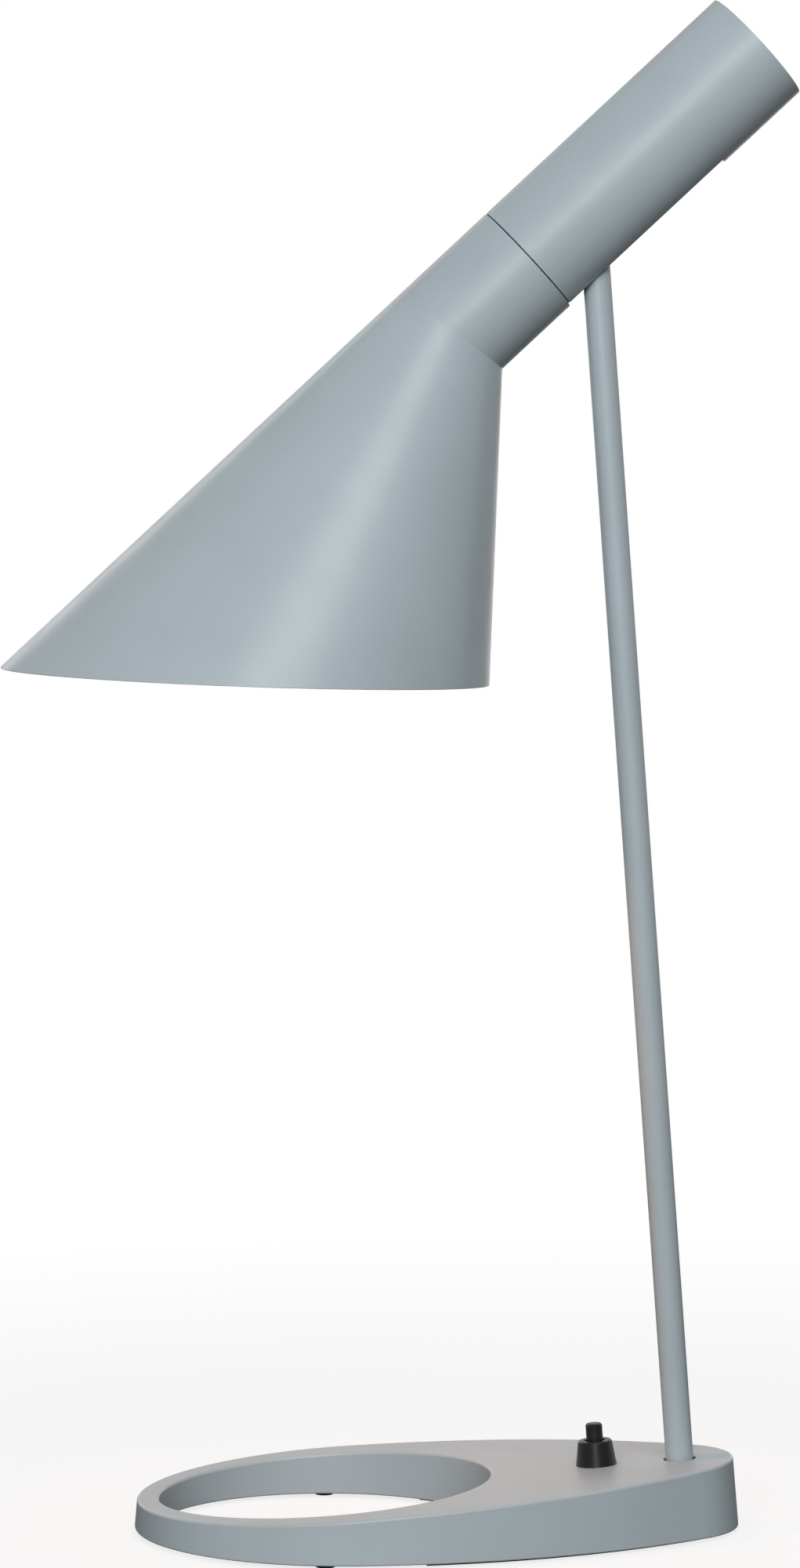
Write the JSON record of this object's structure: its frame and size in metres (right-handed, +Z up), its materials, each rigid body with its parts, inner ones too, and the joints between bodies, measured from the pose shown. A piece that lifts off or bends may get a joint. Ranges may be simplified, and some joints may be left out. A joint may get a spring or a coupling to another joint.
{
  "type": "desk lamp",
  "caption": "Desk lamp with an oval cast base pierced by a round hole, a leaning stem and a tilting tube head with a slanted cone shade.",
  "frame": {"origin": "on the desk plane, on the underside of the bottom plate, where the stem's axis meets it", "axes": "+X to the rear of the base, away from the round hole; +Y to the side that has the cable inlet; +Z up"},
  "size_m": [0.2861, 0.1598, 0.55],
  "materials": {
    "painted_steel": "satin blue-grey powder paint",
    "painted_casting": "satin blue-grey paint on a die casting",
    "black_plate": "matte black paint",
    "zinc_steel": "bright zinc-plated steel",
    "aluminium": "plain turned aluminium",
    "nylon": "natural nylon",
    "black_plastic": "semi-gloss black moulding",
    "rubber": "matte black rubber",
    "ceramic": "unglazed steatite",
    "brass": "plain brass",
    "opal_glass": "opal white glass",
    "brown_wire": "brown insulation",
    "blue_wire": "blue insulation",
    "lead_wire": "white heat-resistant insulation"
  },
  "bodies": {
    "stand": {"base_casting": "painted_casting", "bottom_plate": "black_plate", "plate_screws": "zinc_steel", "ring_feet": "rubber", "cable_inlet_bush": "black_plastic", "stem_tube": "painted_steel", "stem_foot": "zinc_steel", "stem_ring_nut": "zinc_steel", "stem_eye": "zinc_steel", "switch_body": "black_plastic", "switch_tags": "brass", "switch_lock_washer": "zinc_steel", "switch_collar": "black_plastic", "switch_spring": "zinc_steel", "terminal_block": "nylon", "clamp_screws": "zinc_steel", "block_screw": "zinc_steel", "neutral_lead": "blue_wire", "live_lead": "brown_wire", "switch_lead": "brown_wire", "pivot_leads": "lead_wire"},
    "head": {"shade": "painted_steel", "rear_tube": "painted_steel", "end_cap": "painted_steel", "tie_screw": "zinc_steel", "head_sleeve": "aluminium", "pivot_bracket": "zinc_steel", "bracket_rivets": "aluminium", "pivot_bolt": "zinc_steel", "pivot_nut": "zinc_steel", "wave_washer": "zinc_steel", "friction_washers": "nylon", "holder_plate": "zinc_steel", "holder_nipple": "zinc_steel", "nipple_nut": "zinc_steel", "holder_body": "black_plastic", "holder_skirt": "black_plastic", "holder_core": "ceramic", "centre_contact": "brass", "screw_shell": "brass", "lamp_cap": "aluminium", "lamp_glass": "opal_glass", "head_leads": "lead_wire"},
    "button": {"switch_button": "black_plastic"}
  },
  "joints": [
    {"name": "head_tilt", "type": "hinge", "parent": "stand", "child": "head", "pos_m": [-0.03475, 0, 0.4789], "axis": [0, 1, 0], "range_deg": [-6, 70], "deforming": ["pivot_leads"]},
    {"name": "button_press", "type": "slide", "parent": "stand", "child": "button", "axis": [-0.0691, 0, 0.9976], "range_m": [-0.0025, 0], "stiffness_N_per_m": 400, "springref_m": 0.002, "deforming": ["switch_spring"]}
  ]
}
